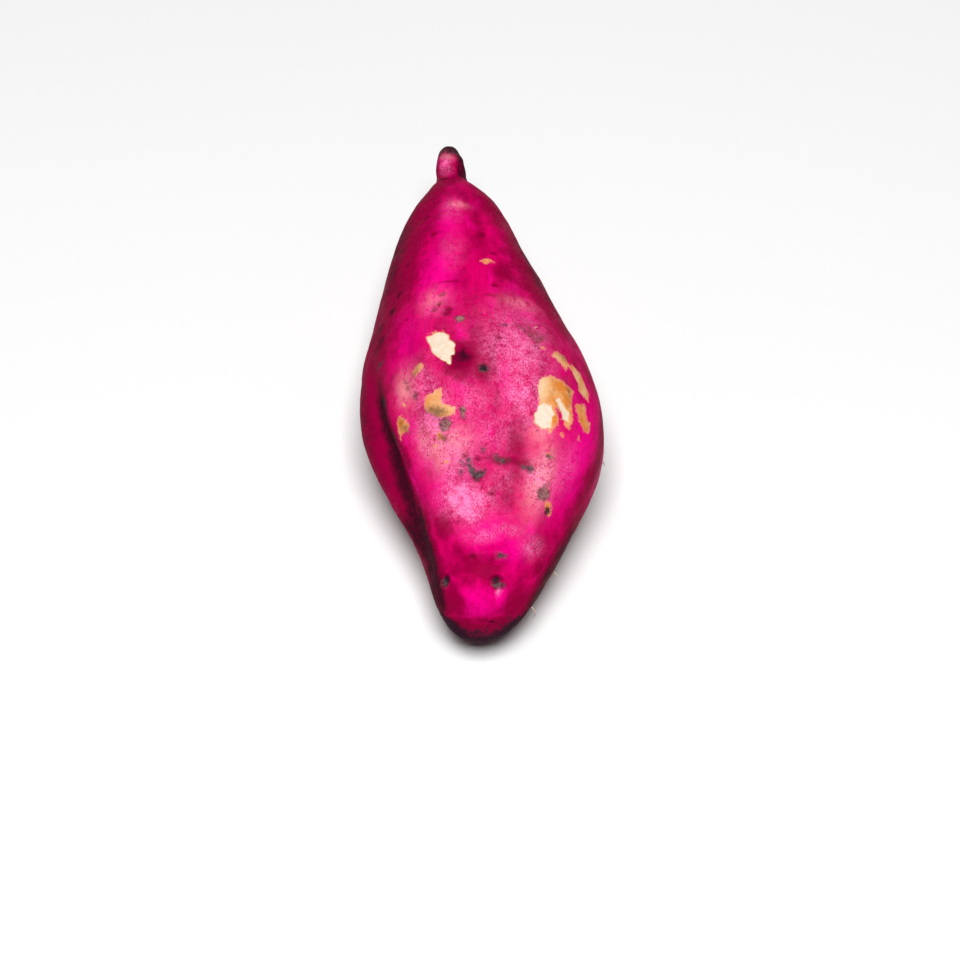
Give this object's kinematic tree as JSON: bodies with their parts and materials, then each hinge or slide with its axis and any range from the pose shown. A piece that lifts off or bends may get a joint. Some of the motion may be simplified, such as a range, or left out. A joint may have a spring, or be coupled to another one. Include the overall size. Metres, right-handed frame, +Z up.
{
  "type": "sweet potato",
  "caption": "Whole raw sweet potato with magenta skin, tapered to a blunt root tip and a short stem stub, lying on a small flat spot.",
  "frame": {"origin": "on the surface that it lies on, under the middle of its box", "axes": "+Z up; +Y along the root towards its stem stub; +X to the right of someone facing along +Y"},
  "size_m": [0.0702, 0.162, 0.0595],
  "materials": {
    "skin": "satin magenta skin with pale dusty patches, cream and tan scrapes, grey scabs and dark eyes"
  },
  "bodies": {
    "root": {"sweet_potato": "skin"}
  },
  "joints": []
}
